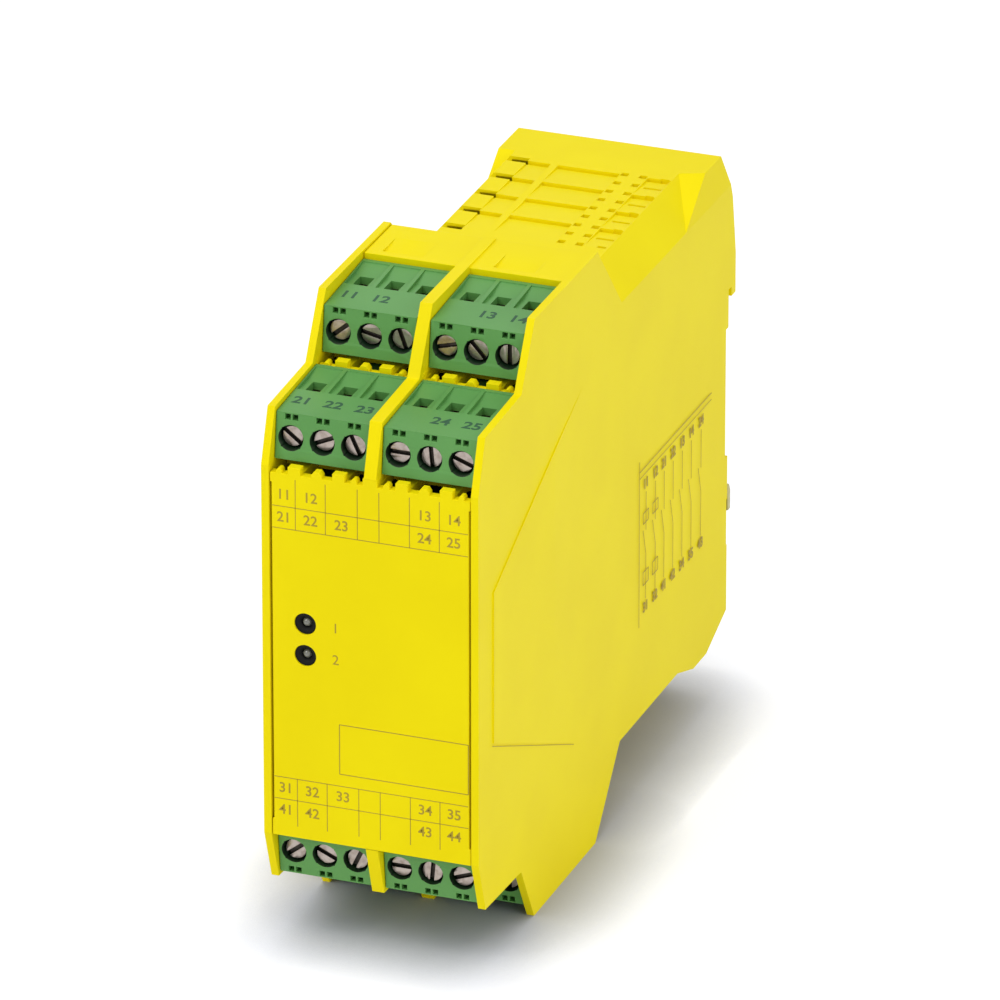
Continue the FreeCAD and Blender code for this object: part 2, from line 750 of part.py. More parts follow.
def led_holder():
    """Spacer that carries both lamps on the front edge of the left-hand board."""
    inner, _ = board_x()
    y0 = FIT + SHELF + 0.1
    middle = LED_UPPER - LED_PITCH / 2
    half = HOLDER_HALF
    block = box(-inner + 0.1, LED_X + HOLDER_SIDE, y0, HOLDER_END, middle - half, middle + half)
    for lamp in range(2):
        z = LED_UPPER - lamp * LED_PITCH
        block = block.cut(rod(LED_RADIUS + 0.35, (LED_X, 0, z), HOLDER_HALF + 1.4, (0, 1, 0)))
    return block


def rail_foot():
    """Steel latch: a strip in the rear channel, with a wide nose for the rail."""
    back = SEAT_DEPTH - SEAT_RELIEF - FIT
    front = back - FOOT_SHEET
    nose_top = RAIL_LOW + NOSE_BITE
    strip = box(-FOOT_HALF, FOOT_HALF, front, back, -FOOT_END, RAIL_LOW - 0.9)
    neck = box(-FOOT_HALF, FOOT_HALF, front, FLANGE_SLOT + 1.2, NOSE_LOW, RAIL_LOW - 0.5)
    outline = [
        (FLANGE_SLOT, NOSE_LOW),
        (FLANGE_SLOT, nose_top),
        (FLANGE_SLOT + 0.5, nose_top),
        (FLANGE_SLOT + 1.2, nose_top - 1.4),
        (FLANGE_SLOT + 1.2, NOSE_LOW),
    ]
    nose = prism(outline, -HALF + 0.5, HALF - 0.5)
    low = LEDGE_TOP - LEDGE - 2 * FIT
    window = box(-3.0, 3.0, front - 1, back + 1, low, LEDGE_TOP + SPRING_LENGTH)
    pull = box(-3.4, 3.4, front - 1, back + 1, -FOOT_END + 1.8, -FOOT_END + 4.4)
    return union([strip, neck, nose]).cut([window, pull])


def foot_spring():
    """Compression spring in the window of the foot."""
    back = SEAT_DEPTH - SEAT_RELIEF - FIT
    middle = back - FOOT_SHEET / 2
    bottom = LEDGE_TOP + SPRING_WIRE / 2
    height = SPRING_LENGTH - SPRING_WIRE
    helix = Part.makeHelix(height / SPRING_TURNS, height, SPRING_RADIUS)
    start = FreeCAD.Vector(SPRING_RADIUS, 0, 0)
    corners = []
    for turn in range(6):
        angle = math.radians(60 * turn)
        reach = SPRING_WIRE / 2
        offset = FreeCAD.Vector(reach * math.cos(angle), 0, reach * math.sin(angle))
        corners.append(start + offset)
    ring = Part.makePolygon(corners + corners[:1])
    coil = Part.Wire(helix.Edges).makePipeShell([ring], True, True)
    return coil.translated(FreeCAD.Vector(0, middle, bottom))


def export_inside():
    holes = []
    for z in (RELAY_HALF_PITCH, -RELAY_HALF_PITCH):
        holes += relay_pins(z, PIN / 2 + 0.05, 1.0, 1.0 + BOARD + 1.0)
    right = circuit_board().cut(holes)
    left = flip_x(circuit_board())
    export("circuit_board_right", right)
    export("circuit_board_left", left)
    export("headers_right", headers())
    export("headers_left", flip_x(headers()))
    export("contact_pins_right", contact_pins())
    export("contact_pins_left", flip_x(contact_pins()))
    export("relay_upper", relay(RELAY_HALF_PITCH))
    export("relay_lower", relay(-RELAY_HALF_PITCH))
    export("board_link", board_link())
    export("led_upper", led(LED_UPPER))
    export("led_lower", led(LED_UPPER - LED_PITCH))
    export("led_holder", led_holder())


def main():
    os.makedirs("parts", exist_ok=True)
    export("housing", housing())
    export("front_cover", front_cover())
    export_plugs()
    export_inside()
    export("rail_foot", rail_foot())
    export("foot_spring", foot_spring())


main()
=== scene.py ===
# %% [markdown]
# # Safety relay module, dressed for the camera
# The object is a slim control module that clips on to a rail in a switch cabinet. A
# yellow moulded housing holds two circuit boards, and eight green terminal blocks
# plug into it at the front, in two steps above and two below a flat panel.
#
# The solids come ready made and in place. This lesson adds what solids lack: soft
# edges, the skin of moulded plastic, tarnished plating, ink, lamps and light.

# %% Tools and solids
import math

import bmesh
import bpy
from mathutils import Matrix, Vector


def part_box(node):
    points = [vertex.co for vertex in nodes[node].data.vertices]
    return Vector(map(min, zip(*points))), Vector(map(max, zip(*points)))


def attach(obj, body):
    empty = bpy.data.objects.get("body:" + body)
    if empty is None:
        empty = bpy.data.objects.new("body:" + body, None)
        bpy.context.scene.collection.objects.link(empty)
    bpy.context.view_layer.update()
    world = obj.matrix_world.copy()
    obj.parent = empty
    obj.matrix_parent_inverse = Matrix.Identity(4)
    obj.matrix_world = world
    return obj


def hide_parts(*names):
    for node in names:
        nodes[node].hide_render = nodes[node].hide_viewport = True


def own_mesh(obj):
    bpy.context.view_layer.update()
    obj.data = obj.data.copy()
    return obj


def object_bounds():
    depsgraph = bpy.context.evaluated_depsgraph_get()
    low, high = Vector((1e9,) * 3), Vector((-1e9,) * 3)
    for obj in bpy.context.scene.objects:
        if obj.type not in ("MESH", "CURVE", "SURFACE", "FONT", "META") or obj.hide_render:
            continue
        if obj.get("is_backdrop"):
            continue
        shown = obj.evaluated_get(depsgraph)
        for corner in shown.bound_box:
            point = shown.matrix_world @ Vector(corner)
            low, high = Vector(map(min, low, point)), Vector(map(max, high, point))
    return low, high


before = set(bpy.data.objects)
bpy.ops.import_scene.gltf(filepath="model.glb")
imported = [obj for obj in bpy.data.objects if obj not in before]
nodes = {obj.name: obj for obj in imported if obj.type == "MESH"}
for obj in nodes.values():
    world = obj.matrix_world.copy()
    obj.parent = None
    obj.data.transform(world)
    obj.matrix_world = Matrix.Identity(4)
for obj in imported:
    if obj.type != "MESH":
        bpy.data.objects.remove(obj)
cad_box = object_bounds()
print("solids loaded:", len(nodes))

# %% [markdown]
# ## Places on the object
# The frame is in metres, with its origin on the seat of the rail. A maker would
# rather measure in millimetres from the front panel and from mid-height, and every
# drawn thing below is given that way: x across, y the depth behind the front, z the
# height.
#
# Each line could convert its own numbers, but one slip would then be hard to find.
# One function does the change for all of them.

# %% From millimetres to the frame
MM = 0.001
SEAT = 111.3
RAIL_CENTRE = 1.5


def place(x, y, z):
    """A point of the object in the frame's metres."""
    return Vector((x * MM, (y - SEAT) * MM, (z - RAIL_CENTRE) * MM))


print("middle of the front in m:", [round(value, 4) for value in place(0, 0, 0)])

# %% [markdown]
# ## Skin of moulded plastic
# The housing and the blocks are moulded in coloured plastic. The mould leaves a fine
# eroded grain, the colour drifts a little where the plastic flowed, and the shine
# varies with the grain.
#
# Each plastic could have its own noise textures. A node group is the better way,
# because the effect is the same in all of them and only its numbers change. It gives
# a colour, a roughness and a height, and the shader stays in each material.

# %% An empty group
SKIN_OUTPUTS = (
    ("Colour", "NodeSocketColor"),
    ("Roughness", "NodeSocketFloat"),
    ("Height", "NodeSocketFloat"),
)


def new_skin(name, inputs):
    """A shader group with named inputs and a skin's outputs, and its two end nodes."""
    group = bpy.data.node_groups.new(name, "ShaderNodeTree")
    for label, kind, default in inputs:
        socket = group.interface.new_socket(label, in_out="INPUT", socket_type=kind)
        socket.default_value = default
    for label, kind in SKIN_OUTPUTS:
        group.interface.new_socket(label, in_out="OUTPUT", socket_type=kind)
    return group, group.nodes.new("NodeGroupInput"), group.nodes.new("NodeGroupOutput")


print("a skin gives:", ", ".join(label for label, kind in SKIN_OUTPUTS))

# %% [markdown]
# Three small helpers build both skins of this lesson. The noise reads the piece's own
# coordinates, so it stays on the piece when that moves, and needs no unwrapping.


# %% Noise, and what it does to colour and roughness
def noise(tree, scale, detail, roughness=0.5):
    """Noise that sticks to the piece, because it reads the piece's own coordinates."""
    coordinates = tree.nodes.new("ShaderNodeTexCoord")
    texture = tree.nodes.new("ShaderNodeTexNoise")
    texture.inputs["Scale"].default_value = scale
    texture.inputs["Detail"].default_value = detail
    texture.inputs["Roughness"].default_value = roughness
    tree.links.new(coordinates.outputs["Object"], texture.inputs["Vector"])
    return texture


def blend_colours(tree, texture, first, second, start, end, most):
    """Colour that goes from first towards second as the noise rises."""
    spread = tree.nodes.new("ShaderNodeMapRange")
    spread.inputs["From Min"].default_value = start
    spread.inputs["From Max"].default_value = end
    spread.inputs["To Max"].default_value = most
    tree.links.new(texture.outputs["Fac"], spread.inputs["Value"])
    mix = tree.nodes.new("ShaderNodeMix")
    mix.data_type = "RGBA"
    tree.links.new(spread.outputs["Result"], mix.inputs["Factor"])
    tree.links.new(first, mix.inputs["A"])
    tree.links.new(second, mix.inputs["B"])
    return mix.outputs["Result"]


def vary_roughness(tree, texture, base, swing):
    """The base roughness, moved up and down by the noise."""
    lowest = tree.nodes.new("ShaderNodeMath")
    lowest.operation = "SUBTRACT"
    lowest.inputs[1].default_value = swing / 2
    tree.links.new(base, lowest.inputs[0])
    vary = tree.nodes.new("ShaderNodeMath")
    vary.operation = "MULTIPLY_ADD"
    vary.inputs[1].default_value = swing
    tree.links.new(texture.outputs["Fac"], vary.inputs[0])
    tree.links.new(lowest.outputs[0], vary.inputs[2])
    return vary.outputs[0]


helpers = (noise, blend_colours, vary_roughness)
print("helpers:", ", ".join(helper.__name__ for helper in helpers))

# %% [markdown]
# The plastic's group joins two noises. The broad one, some 15 mm across, drifts the
# colour. The fine one, about a quarter of a millimetre, is the grain of the mould and
# drives roughness and height together, so that what is rough also looks rough.

# %% The moulded skin
DRIFT_SCALE = 60.0
GRAIN_SCALE = 4500.0
GRAIN_SHINE = 0.12


def moulded_skin():
    """The skin group of every plastic and ink."""
    tree, into, out = new_skin(
        "moulded_skin",
        [
            ("Colour", "NodeSocketColor", (0.8, 0.8, 0.8, 1)),
            ("Deep", "NodeSocketColor", (0.7, 0.7, 0.7, 1)),
            ("Roughness", "NodeSocketFloat", 0.4),
            ("Grain", "NodeSocketFloat", GRAIN_SCALE),
        ],
    )
    drift = noise(tree, DRIFT_SCALE, detail=2.0)
    grain = noise(tree, GRAIN_SCALE, detail=3.0, roughness=0.6)
    tree.links.new(into.outputs["Grain"], grain.inputs["Scale"])
    colour = blend_colours(
        tree,
        drift,
        into.outputs["Colour"],
        into.outputs["Deep"],
        start=0.38,
        end=0.66,
        most=1.0,
    )
    rough = vary_roughness(tree, grain, into.outputs["Roughness"], GRAIN_SHINE)
    tree.links.new(colour, out.inputs["Colour"])
    tree.links.new(rough, out.inputs["Roughness"])
    tree.links.new(grain.outputs["Fac"], out.inputs["Height"])
    return tree


MOULDED = moulded_skin()
print("group:", MOULDED.name, "with", len(MOULDED.nodes), "nodes")

# %% [markdown]
# Colours are easiest to choose as they look on a screen, out of 255. A shader works
# with amounts of light instead, so `linear` changes the one into the other.


# %% Screen colours as light
def linear(red, green, blue):
    """Screen colour out of 255 as the linear colour that a shader takes."""
    values = []
    for part in (red, green, blue):
        c = part / 255
        values.append(c / 12.92 if c <= 0.04045 else ((c + 0.055) / 1.055) ** 2.4)
    return (*values, 1.0)


print("middle grey as light:", round(linear(128, 128, 128)[0], 3))

# %% [markdown]
# A material is one shader with the group's outputs plugged in. What varies over the
# surface comes from the group. What is the same everywhere, such as the specular
# level, is set on the shader's own socket, where every other program can read it.

# %% A material around a skin
GRAIN_HEIGHT = 0.000012


def skinned(name, skin_group, skin_values, height, **shader_values):
    """A material whose colour, roughness and bump come from a skin group."""
    material = bpy.data.materials.new(name)
    material.use_nodes = True
    tree = material.node_tree
    principled = tree.nodes["Principled BSDF"]
    for key, value in shader_values.items():
        principled.inputs[key.replace("_", " ")].default_value = value
    skin = tree.nodes.new("ShaderNodeGroup")
    skin.node_tree = skin_group
    for label, value in skin_values.items():
        skin.inputs[label].default_value = value
    bump = tree.nodes.new("ShaderNodeBump")
    bump.inputs["Distance"].default_value = height
    tree.links.new(skin.outputs["Height"], bump.inputs["Height"])
    tree.links.new(skin.outputs["Colour"], principled.inputs["Base Color"])
    tree.links.new(skin.outputs["Roughness"], principled.inputs["Roughness"])
    tree.links.new(bump.outputs["Normal"], principled.inputs["Normal"])
    return material


def plastic(
    name, colour, deep, roughness, grain=GRAIN_SCALE, height=GRAIN_HEIGHT, **shader_values
):
    """A plastic of one colour that drifts towards a slightly deeper one."""
    skin_values = {
        "Colour": linear(*colour),
        "Deep": linear(*deep),
        "Roughness": roughness,
        "Grain": grain,
    }
    return skinned(name, MOULDED, skin_values, height, **shader_values)


print("depth of the grain in mm:", round(GRAIN_HEIGHT / MM, 3))

# %% [markdown]
# ## Soft edges
# No moulded, stamped or turned edge is knife-sharp, and it is the thin line of light
# along an edge that makes a small object look real. Each solid that shows is copied
# and its copy gets a bevel of a tenth or two of a millimetre.
#
# The copy comes as triangles, and a bevel needs whole faces, so the triangles of flat
# faces are joined first. A face with a hole can't stay whole: an edge has to run from
# the hole to a far corner, and it would show as a crease. Such a solid is first cut
# straight through its holes, and its faces end at those cuts.

# %% Whole flat faces
SAME_POINT = 1e-6
ON_THE_CUT = 1e-7
SAME_PLANE = math.radians(0.2)
SAME_FLAT = math.radians(0.5)


def cut_through(work, cuts):
    """Cut the mesh along planes, and keep those cuts when flat faces are joined."""
    for point, normal in cuts:
        made = bmesh.ops.bisect_plane(
            work,
            geom=work.verts[:] + work.edges[:] + work.faces[:],
            dist=ON_THE_CUT,
            plane_co=point,
            plane_no=normal,
        )
        for part in made["geom_cut"]:
            if isinstance(part, bmesh.types.BMEdge):
                part.seam = True
    bmesh.ops.dissolve_limit(
        work,
        angle_limit=SAME_PLANE,
        verts=work.verts,
        edges=work.edges,
        delimit={"SEAM"},
    )


def join_flat(work):
    """Join the triangles of each flat face without any cuts."""
    bmesh.ops.join_triangles(
        work,
        faces=work.faces,
        angle_face_threshold=SAME_FLAT,
        angle_shape_threshold=math.pi,
    )


print("triangles join within", round(math.degrees(SAME_FLAT), 1), "degrees")

# %% [markdown]
# Where two broad faces meet at only a few degrees, such as the long bevels beside the
# roof, smooth shading would melt them into one. Those edges are marked sharp. Small
# facets of round holes stay smooth: a face has to be larger than 4 square
# millimetres to count as broad.

# %% Copies with their facet edges kept
BROAD = 4.0 * MM * MM
SLIGHT_ANGLE = math.radians(2)


def is_facet_edge(edge):
    """True where two broad flat faces meet at a slight angle."""
    if len(edge.link_faces) != 2:
        return False
    smaller = min(face.calc_area() for face in edge.link_faces)
    return smaller > BROAD and edge.calc_face_angle() > SLIGHT_ANGLE


def clean_copy(source, name, cuts=()):
    """The mesh of a solid with whole flat faces and its facet edges marked."""
    mesh = nodes[source].data.copy()
    mesh.name = name
    work = bmesh.new()
    work.from_mesh(mesh)
    bmesh.ops.remove_doubles(work, verts=work.verts, dist=SAME_POINT)
    if cuts:
        cut_through(work, cuts)
    else:
        join_flat(work)
    for face in work.faces:
        face.smooth = True
    for edge in work.edges:
        if is_facet_edge(edge):
            edge.smooth = False
    work.to_mesh(mesh)
    work.free()
    return mesh


print("a broad face is over", round(BROAD / (MM * MM), 1), "square millimetres")

# %% [markdown]
# The bevel rounds every edge sharper than 30 degrees. On its own it would also tilt
# the shading of the flats beside it. The weighted normals after it let the largest
# face win, so flats stay flat and only the round itself catches the light.

# %% A soft-edged piece in place of a solid
ROUND_STEPS = 2
ROUNDED_ANGLE = math.radians(30)


def set_material(piece, material):
    piece.data.materials.clear()
    piece.data.materials.append(material)


def add_mesh(name, mesh, material, body):
    """A new piece that moves with a body."""
    piece = bpy.data.objects.new(name, mesh)
    bpy.context.scene.collection.objects.link(piece)
    set_material(piece, material)
    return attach(piece, body)


def round_edges(piece, width):
    """A bevel of a width in millimetres, with flat shading kept beside it."""
    bevel = piece.modifiers.new("round", "BEVEL")
    bevel.width = width * MM
    bevel.segments = ROUND_STEPS
    bevel.limit_method = "ANGLE"
    bevel.angle_limit = ROUNDED_ANGLE
    bevel.miter_outer = "MITER_ARC"
    bevel.use_clamp_overlap = True
    flatten = piece.modifiers.new("flat faces stay flat", "WEIGHTED_NORMAL")
    flatten.weight = 100
    flatten.keep_sharp = True


def rounded(source, name, material, body, width, cuts=()):
    """A soft-edged copy that stands for the solid."""
    piece = add_mesh(name, clean_copy(source, name, cuts), material, body)
    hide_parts(source)
    round_edges(piece, width)
    return piece


print("every round has", ROUND_STEPS, "steps")

# %% [markdown]
# ## Housing and front cover
# The housing is one deep shell with the side walls, the slatted roof and floor and
# the rail hook. The front cover is a second moulding that snaps into it and carries
# the panel, the toothed lips and the wall between the columns.
#
# Both are a strong warning yellow, nearly matt. Most of the light that they send back
# comes from the pigment, and a high specular level would wash the long sides out to
# cream. The housing's edges are a little rounder than the cover's, as on a large
# moulding with thick walls. The cover is cut through the middles of its lamp holes.

# %% Yellow mouldings
YELLOW = plastic(
    "yellow_housing", (244, 226, 8), (241, 222, 8), 0.42, Specular_IOR_Level=0.06
)
LAMP_X = -10.5
LAMP_HEIGHTS = (5.2, 0.0)
HOUSING_ROUND = 0.22
COVER_ROUND = 0.14
lamp_cuts = [(place(LAMP_X, 0, 0), (1, 0, 0))]
lamp_cuts += [(place(0, 0, z), (0, 0, 1)) for z in LAMP_HEIGHTS]
housing = rounded("housing", "housing_shell", YELLOW, "housing", HOUSING_ROUND)
cover = rounded("front_cover", "front_panel", YELLOW, "housing", COVER_ROUND, lamp_cuts)
for piece in (housing, cover):
    print(piece.name, "has", len(piece.data.polygons), "faces before its bevel")

# %% [markdown]
# ## Terminal blocks
# The eight terminal blocks differ only in where they sit: above or below the panel,
# in the front or the rear step, in the left or the right column. They could be
# written out one by one. A list of them lets every later step treat all eight alike.

# %% The eight blocks
BLOCKS = []
for level, up in (("upper", 1), ("lower", -1)):
    for row, step in (("front", 0), ("rear", 1)):
        for column, side in (("left", -1), ("right", 1)):
            BLOCKS.append((f"{level}_{row}_{column}", side, step, up))
POLES = (1, 2, 3)
print("terminal blocks:", ", ".join(block[0] for block in BLOCKS))

# %% [markdown]
# Each block takes three wires from above, and its three slotted screws clamp them. A
# screw head sits in a bore that is only a little wider, and no light reaches down
# beside it. That shade is painted: the bore is coloured much darker than the block
# around it.
#
# A dark ring laid in the gap would be one more thin piece. It is simpler to paint the
# shade on the faces of the bore itself, with a second material. They are the faces
# that lie near a screw's axis and behind the block's front.

# %% Green blocks with painted shade in the bores
GREEN = plastic(
    "green_terminal", (94, 154, 80), (86, 146, 73), 0.42, Specular_IOR_Level=0.35
)
# The bore's dark green is painted shade, not a colour of the plastic.
PAINTED_BORE_SHADE = plastic("green_bore_painted_shade", (22, 50, 26), (16, 40, 20), 0.5)
BORE_RADIUS = 2.08 * MM
BORE_START = 0.25 * MM


def paint_bore_shade(block, name):
    """Paint the shade of the bore on the wall around each screw head, in a dark green."""
    block.data.materials.append(PAINTED_BORE_SHADE)
    front = min(vert.co.y for vert in block.data.vertices)
    for pole in POLES:
        low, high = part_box(f"screw_{name}_{pole}")
        x = (low[0] + high[0]) / 2
        z = (low[2] + high[2]) / 2
        for face in block.data.polygons:
            centre = face.center
            near = math.hypot(centre.x - x, centre.z - z) < BORE_RADIUS
            if near and centre.y > front + BORE_START:
                face.material_index = 1


print("finishes of a block:", GREEN.name, "and", PAINTED_BORE_SHADE.name)

# %% [markdown]
# ## Plated metal
# Screws, cages, pins and the foot are steel or brass with a thin plating. It isn't
# even: zinc clouds over, nickel takes on a warm tarnish, and rolling or turning leaves
# fine lines. An image of such a surface would show that too. A second group with two
# noises does it at any distance, and each metal only sets its own colours.

# %% The plated skin
CLOUD_SCALE = 900.0
LINES_SCALE = 2600.0
CLOUD_SHINE = 0.2
LINES_HEIGHT = 0.000006


def plated_skin():
    """The skin group of every plated metal."""
    tree, into, out = new_skin(
        "plated_metal",
        [
            ("Colour", "NodeSocketColor", (0.6, 0.6, 0.6, 1)),
            ("Tarnish", "NodeSocketColor", (0.3, 0.28, 0.25, 1)),
            ("Roughness", "NodeSocketFloat", 0.3),
        ],
    )
    cloud = noise(tree, CLOUD_SCALE, detail=4.0, roughness=0.6)
    lines = noise(tree, LINES_SCALE, detail=2.0)
    colour = blend_colours(
        tree,
        cloud,
        into.outputs["Colour"],
        into.outputs["Tarnish"],
        start=0.42,
        end=0.75,
        most=0.8,
    )
    rough = vary_roughness(tree, cloud, into.outputs["Roughness"], CLOUD_SHINE)
    tree.links.new(colour, out.inputs["Colour"])
    tree.links.new(rough, out.inputs["Roughness"])
    tree.links.new(lines.outputs["Fac"], out.inputs["Height"])
    return tree


PLATED = plated_skin()


def metal(name, colour, tarnish, roughness):
    """A plated metal of one colour that clouds over towards its tarnish."""
    skin_values = {
        "Colour": linear(*colour),
        "Tarnish": linear(*tarnish),
        "Roughness": roughness,
    }
    return skinned(name, PLATED, skin_values, LINES_HEIGHT, Metallic=1.0)


print("group:", PLATED.name, "with", len(PLATED.nodes), "nodes")

# %% [markdown]
# ## Clamp screws
# The slot of a screw head lies in shade, and that shade is painted. The slot could be
# its own piece. As with the bores, a second material is enough: what lies behind the
# front of the head takes a much darker, duller plating.

# %% Screws with painted shade in their slots
STEEL = metal("screw_steel", (182, 170, 160), (136, 118, 106), 0.34)
# The slot's dark plating is painted shade.
PAINTED_SLOT_SHADE = metal("screw_slot_painted_shade", (84, 78, 72), (60, 54, 50), 0.55)
SLOT_START = 0.15 * MM


def paint_slot_shade(screw):
    """Paint the slot's shade on every face behind the head's front, in a dark, dull
    plating.
    """
    screw.data.materials.append(PAINTED_SLOT_SHADE)
    front = min(vert.co.y for vert in screw.data.vertices)
    for face in screw.data.polygons:
        if face.center.y > front + SLOT_START:
            face.material_index = 1


print("finishes of a screw:", STEEL.name, "and", PAINTED_SLOT_SHADE.name)

# %% [markdown]
# Every block rides on its own body and every screw on its own, so a block can be
# pulled off with its screws, and each screw can still turn. The clamp cages stay as
# solids: they show only through the wire holes, and need only their plating.

# %% Blocks, screws and cages
CAGE = metal("plated_cage", (190, 176, 140), (130, 112, 80), 0.4)
BLOCK_ROUND = 0.1
SCREW_ROUND = 0.06
for name, *_ in BLOCKS:
    plug = "plug_" + name
    block = rounded(plug, "terminal_" + name, GREEN, plug, BLOCK_ROUND)
    paint_bore_shade(block, name)
    for pole in POLES:
        node = f"screw_{name}_{pole}"
        screw = rounded(node, f"slotted_{name}_{pole}", STEEL, node, SCREW_ROUND)
        paint_slot_shade(screw)
    set_material(nodes["clamps_" + name], CAGE)
print("blocks:", len(BLOCKS), "screws:", len(POLES) * len(BLOCKS))

# %% [markdown]
# ## Rail foot
# The foot is stamped from sheet steel and zinc-plated, with the yellowish tint of a
# passivated coat. It slides down to let the module off its rail. Stamping leaves one
# soft edge all round. That edge could be modelled in the solid, but the same bevel as
# on the mouldings gives it, an eighth of a millimetre wide.

# %% Foot
ZINC = metal("zinc_steel", (186, 180, 128), (168, 160, 104), 0.4)
FOOT_ROUND = 0.12
foot = rounded("rail_foot", "foot_plate", ZINC, "foot", FOOT_ROUND)
print(foot.name, "is finished in", ZINC.name)

# %% [markdown]
# ## Foot spring
# A small compression spring pushes the foot up. It is wound from round wire, and its
# end turns lie close so that it stands square on its ledge.
#
# A curve with a round bevel would draw the wire at once. So rings of vertices are set
# along the winding and joined.

# %% How the wire climbs
SPRING_TURNS = 5.0
WIRE_RADIUS = 0.2 * MM
CLOSED_TURNS = 0.8
CLOSED_PITCH = 2.05 * WIRE_RADIUS


def coil_height(turn, rise):
    """Height of the wire's middle: close-wound at both ends, open between them."""
    if turn < CLOSED_TURNS:
        return turn * CLOSED_PITCH
    if turn > SPRING_TURNS - CLOSED_TURNS:
        return rise - (SPRING_TURNS - turn) * CLOSED_PITCH
    share = (turn - CLOSED_TURNS) / (SPRING_TURNS - 2 * CLOSED_TURNS)
    closed = CLOSED_TURNS * CLOSED_PITCH
    return closed + share * (rise - 2 * closed)


print("wire thickness in mm:", round(2 * WIRE_RADIUS / MM, 2))

# %% [markdown]
# The rings stand square to the winding as seen from above, which is close enough for
# so slight a climb. Both ends are closed with a cap, as cut wire has.

# %% The wound mesh
STEPS_A_TURN = 28
WIRE_SIDES = 10


def wire_rings(work, low, high):
    """Rings of vertices round the wire, from the lower end to the upper."""
    centre_x = (low[0] + high[0]) / 2
    centre_y = (low[1] + high[1]) / 2
    centre = Vector((centre_x, centre_y, low[2] + WIRE_RADIUS))
    radius = (high[0] - low[0]) / 2 - WIRE_RADIUS
    rise = high[2] - low[2] - 2 * WIRE_RADIUS
    up = Vector((0, 0, 1))
    rings = []
    for step in range(int(SPRING_TURNS * STEPS_A_TURN) + 1):
        turn = step / STEPS_A_TURN
        angle = 2 * math.pi * turn
        out = Vector((math.cos(angle), math.sin(angle), 0))
        middle = centre + out * radius + up * coil_height(turn, rise)
        ring = []
        for side in range(WIRE_SIDES):
            around = 2 * math.pi * side / WIRE_SIDES
            offset = out * math.cos(around) + up * math.sin(around)
            ring.append(work.verts.new(middle + offset * WIRE_RADIUS))
        rings.append(ring)
    return rings


def wound_spring(low, high):
    """The spring as one closed mesh between two corners of its box."""
    work = bmesh.new()
    rings = wire_rings(work, low, high)
    for near, far in zip(rings, rings[1:]):
        for i in range(WIRE_SIDES):
            j = (i + 1) % WIRE_SIDES
            work.faces.new((near[i], near[j], far[j], far[i]))
    work.faces.new(rings[0][::-1])
    work.faces.new(rings[-1])
    bmesh.ops.recalc_face_normals(work, faces=work.faces)
    mesh = bpy.data.meshes.new("wound_spring")
    work.to_mesh(mesh)
    work.free()
    for face in mesh.polygons:
        face.use_smooth = len(face.vertices) == 4
    return mesh


print("rings along the wire:", int(SPRING_TURNS * STEPS_A_TURN) + 1)

# %% [markdown]
# The lower end stands still on the housing's ledge, so that is the anchor.

# %% The spring in its place
spring_low, spring_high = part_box("foot_spring")
spring = add_mesh("foot_coil", wound_spring(spring_low, spring_high), STEEL, "housing")
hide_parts("foot_spring")
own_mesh(spring)

# %% [markdown]
# ## Inside pieces
# Inside there are boards under green solder mask, header blocks in a duller green
# than the plugs, tinned pins, a dark spacer for the lamps, and relays in pale cases.
# Little of them shows unless a block is pulled off.
#
# They could be rounded as the mouldings are. On the real module they are flat and
# square, as bought parts are, so the solids keep their shape and take their finish.

# %% Finishes of the inside pieces
BOARD = plastic("solder_mask", (28, 92, 52), (24, 82, 46), 0.35, grain=2500.0)
HEADER = plastic("header_green", (58, 112, 64), (52, 104, 58), 0.5)
SPACER = plastic("dark_spacer", (28, 28, 26), (22, 22, 21), 0.55)
CASE = plastic("relay_case", (222, 222, 214), (214, 214, 206), 0.35)
PINS = metal("tinned_pin", (200, 200, 200), (150, 150, 150), 0.35)
INSIDE = {
    "circuit_board_left": BOARD,
    "circuit_board_right": BOARD,
    "headers_left": HEADER,
    "headers_right": HEADER,
    "board_link": HEADER,
    "contact_pins_left": PINS,
    "contact_pins_right": PINS,
    "led_holder": SPACER,
    "relay_upper": CASE,
    "relay_lower": CASE,
}
for name, material in INSIDE.items():
    set_material(nodes[name], material)
print("inside pieces:", len(INSIDE))

# %% [markdown]
# ## Indicator lamps
# Each lamp is a small light-emitting diode behind the panel. A black sleeve lines the
# hole and keeps stray light out, and only the tip of the clear dome shows in it.
#
# Both are round about one line, so both are turned: a profile of radius and depth is
# carried once round. That gives clean rings of faces, which a cut-down ball or tube
# would not. A profile that ends where it began closes on itself.

# %% Turned pieces
TURNED_STEPS = 40


def spin_ring(work, centre, radius, depth):
    """One ring of vertices, or one point on the line where the radius is 0."""
    if radius == 0:
        return [work.verts.new(place(centre[0], depth, centre[1]))] * TURNED_STEPS
    ring = []
    for i in range(TURNED_STEPS):
        angle = 2 * math.pi * i / TURNED_STEPS
        x = centre[0] + radius * math.cos(angle)
        z = centre[1] + radius * math.sin(angle)
        ring.append(work.verts.new(place(x, depth, z)))
    return ring


def turned(name, profile, centre, material, body):
    """A piece turned about a line that runs straight into the panel."""
    work = bmesh.new()
    rings = []
    for radius, depth in profile:
        if rings and (radius, depth) == profile[0]:
            rings.append(rings[0])
        else:
            rings.append(spin_ring(work, centre, radius, depth))
    for near, far in zip(rings, rings[1:]):
        for i in range(TURNED_STEPS):
            j = (i + 1) % TURNED_STEPS
            corners = list(dict.fromkeys((near[i], near[j], far[j], far[i])))
            if len(corners) > 2:
                work.faces.new(corners)
    bmesh.ops.recalc_face_normals(work, faces=work.faces)
    mesh = bpy.data.meshes.new(name)
    work.to_mesh(mesh)
    work.free()
    for face in mesh.polygons:
        face.use_smooth = True
    return add_mesh(name, mesh, material, body)


print("steps round a turned piece:", TURNED_STEPS)

